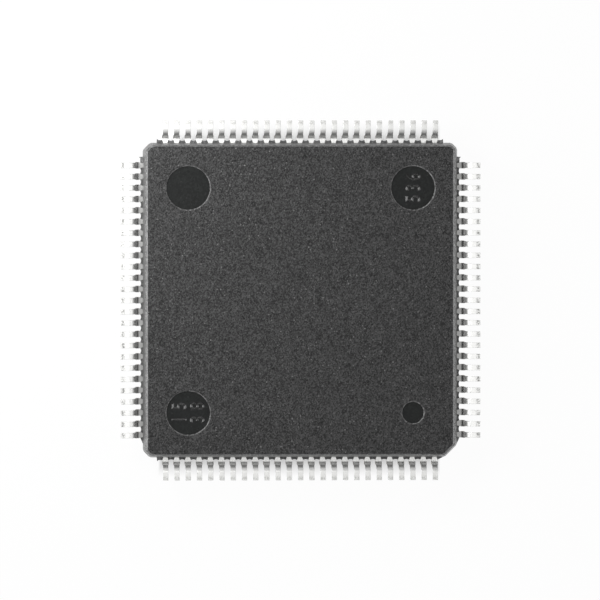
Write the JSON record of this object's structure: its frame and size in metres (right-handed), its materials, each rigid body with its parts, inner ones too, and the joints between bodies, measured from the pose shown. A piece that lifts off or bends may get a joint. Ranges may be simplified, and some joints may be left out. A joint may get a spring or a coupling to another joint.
{
  "type": "quad flat pack chip",
  "caption": "Square moulded chip package with rows of gull-wing leads on all four sides, lying on its marking face with its solder feet up.",
  "frame": {"origin": "middle of the flat marking face that the package lies on", "axes": "+Z out of the package's underside, through the solder faces of the feet, which point up; +X and +Y along the sides; pin 1 is the lead next to the +X -Y corner on the -Y side, and the pins are counted clockwise as seen from +Z"},
  "size_m": [0.016, 0.016, 0.0015],
  "materials": {
    "moulding": "finely grained black moulding compound",
    "tin_plate": "matte tin plate on copper alloy",
    "silicon": "polished silicon, grey violet",
    "die_glue": "silver filled epoxy glue",
    "copper_alloy": "bare rolled copper alloy",
    "bond_wire": "drawn gold wire"
  },
  "bodies": {
    "root": {"mould_body": "moulding", "die": "silicon", "die_attach": "die_glue", "die_paddle": "copper_alloy", "leads_pins_1_to_5": "tin_plate", "leads_pins_6_to_10": "tin_plate", "leads_pins_11_to_15": "tin_plate", "leads_pins_16_to_20": "tin_plate", "leads_pins_21_to_25": "tin_plate", "leads_pins_26_to_30": "tin_plate", "leads_pins_31_to_35": "tin_plate", "leads_pins_36_to_40": "tin_plate", "leads_pins_41_to_45": "tin_plate", "leads_pins_46_to_50": "tin_plate", "leads_pins_51_to_55": "tin_plate", "leads_pins_56_to_60": "tin_plate", "leads_pins_61_to_65": "tin_plate", "leads_pins_66_to_70": "tin_plate", "leads_pins_71_to_75": "tin_plate", "leads_pins_76_to_80": "tin_plate", "leads_pins_81_to_85": "tin_plate", "leads_pins_86_to_90": "tin_plate", "leads_pins_91_to_95": "tin_plate", "leads_pins_96_to_100": "tin_plate", "wires_pins_1_to_5": "bond_wire", "wires_pins_6_to_10": "bond_wire", "wires_pins_11_to_15": "bond_wire", "wires_pins_16_to_20": "bond_wire", "wires_pins_21_to_25": "bond_wire", "wires_pins_26_to_30": "bond_wire", "wires_pins_31_to_35": "bond_wire", "wires_pins_36_to_40": "bond_wire", "wires_pins_41_to_45": "bond_wire", "wires_pins_46_to_50": "bond_wire", "wires_pins_51_to_55": "bond_wire", "wires_pins_56_to_60": "bond_wire", "wires_pins_61_to_65": "bond_wire", "wires_pins_66_to_70": "bond_wire", "wires_pins_71_to_75": "bond_wire", "wires_pins_76_to_80": "bond_wire", "wires_pins_81_to_85": "bond_wire", "wires_pins_86_to_90": "bond_wire", "wires_pins_91_to_95": "bond_wire", "wires_pins_96_to_100": "bond_wire"}
  },
  "joints": []
}
